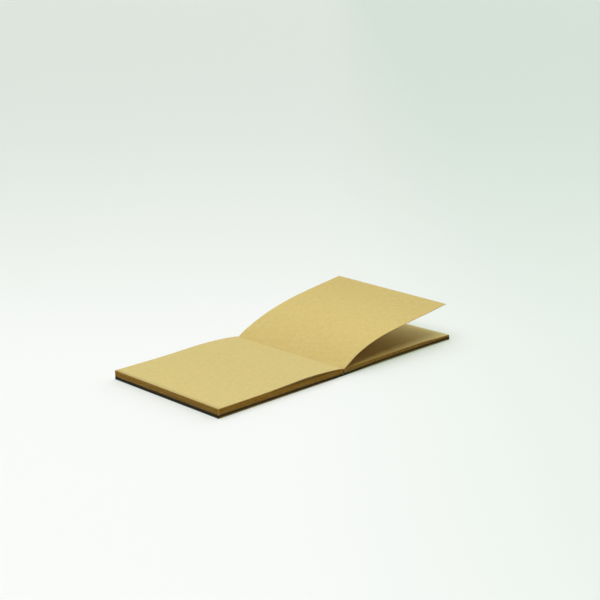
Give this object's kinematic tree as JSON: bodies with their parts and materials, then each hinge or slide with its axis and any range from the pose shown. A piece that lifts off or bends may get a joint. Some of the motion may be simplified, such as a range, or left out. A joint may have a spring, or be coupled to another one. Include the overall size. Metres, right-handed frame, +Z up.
{
  "type": "pocket notebook",
  "caption": "Square kraft-paper pocket notebook with a thin black-lined cover and a lay-flat glued spine, lying open with one leaf raised.",
  "frame": {"origin": "on the table under the middle of the spine's fold line, at the middle of the open notebook", "axes": "+X from the spine across the back pile towards its fore-edge; +Y along the spine towards the head; +Z up from the table"},
  "size_m": [0.2, 0.0996, 0.0271],
  "materials": {
    "kraft_paper": "uncoated, matte, fine flecked fibres",
    "kraft_board": "uncoated brown board, matte",
    "black_paper": "matte black paper with a fine fibre",
    "binding_glue": "dry, slightly glossy padding glue"
  },
  "bodies": {
    "back": {"back_cover_board": "kraft_board", "back_cover_lining": "black_paper", "back_spine_glue": "binding_glue", "back_leaf_01": "kraft_paper", "back_leaf_02": "kraft_paper", "back_leaf_03": "kraft_paper", "back_leaf_04": "kraft_paper", "back_leaf_05": "kraft_paper", "back_leaf_06": "kraft_paper", "back_leaf_07": "kraft_paper", "back_leaf_08": "kraft_paper", "back_leaf_09": "kraft_paper", "back_leaf_10": "kraft_paper", "back_leaf_11": "kraft_paper", "back_leaf_12": "kraft_paper", "back_leaf_13": "kraft_paper", "back_leaf_14": "kraft_paper"},
    "front": {"front_cover_board": "kraft_board", "front_cover_lining": "black_paper", "front_spine_glue": "binding_glue", "front_leaf_01": "kraft_paper", "front_leaf_02": "kraft_paper", "front_leaf_03": "kraft_paper", "front_leaf_04": "kraft_paper", "front_leaf_05": "kraft_paper", "front_leaf_06": "kraft_paper", "front_leaf_07": "kraft_paper", "front_leaf_08": "kraft_paper", "front_leaf_09": "kraft_paper", "front_leaf_10": "kraft_paper", "front_leaf_11": "kraft_paper", "front_leaf_12": "kraft_paper", "front_leaf_13": "kraft_paper", "front_leaf_14": "kraft_paper", "front_leaf_15": "kraft_paper", "front_leaf_16": "kraft_paper", "front_leaf_17": "kraft_paper", "front_leaf_18": "kraft_paper", "front_leaf_19": "kraft_paper", "front_leaf_20": "kraft_paper", "front_leaf_21": "kraft_paper", "front_leaf_22": "kraft_paper", "front_leaf_23": "kraft_paper", "front_leaf_24": "kraft_paper", "front_leaf_25": "kraft_paper", "front_leaf_26": "kraft_paper", "front_leaf_27": "kraft_paper", "front_leaf_28": "kraft_paper", "front_leaf_29": "kraft_paper", "front_leaf_30": "kraft_paper"},
    "turning_leaf": {"raised_leaf": "kraft_paper"}
  },
  "joints": [
    {"name": "notebook_close", "type": "hinge", "parent": "back", "child": "front", "pos_m": [0, 0, 0.0056], "axis": [0, 1, 0], "range_deg": [0, 180]},
    {"name": "leaf_turn", "type": "hinge", "parent": "back", "child": "turning_leaf", "pos_m": [0, 0, 0.00435], "axis": [0, 1, 0], "range_deg": [-140, 0], "deforming": ["raised_leaf"]}
  ]
}
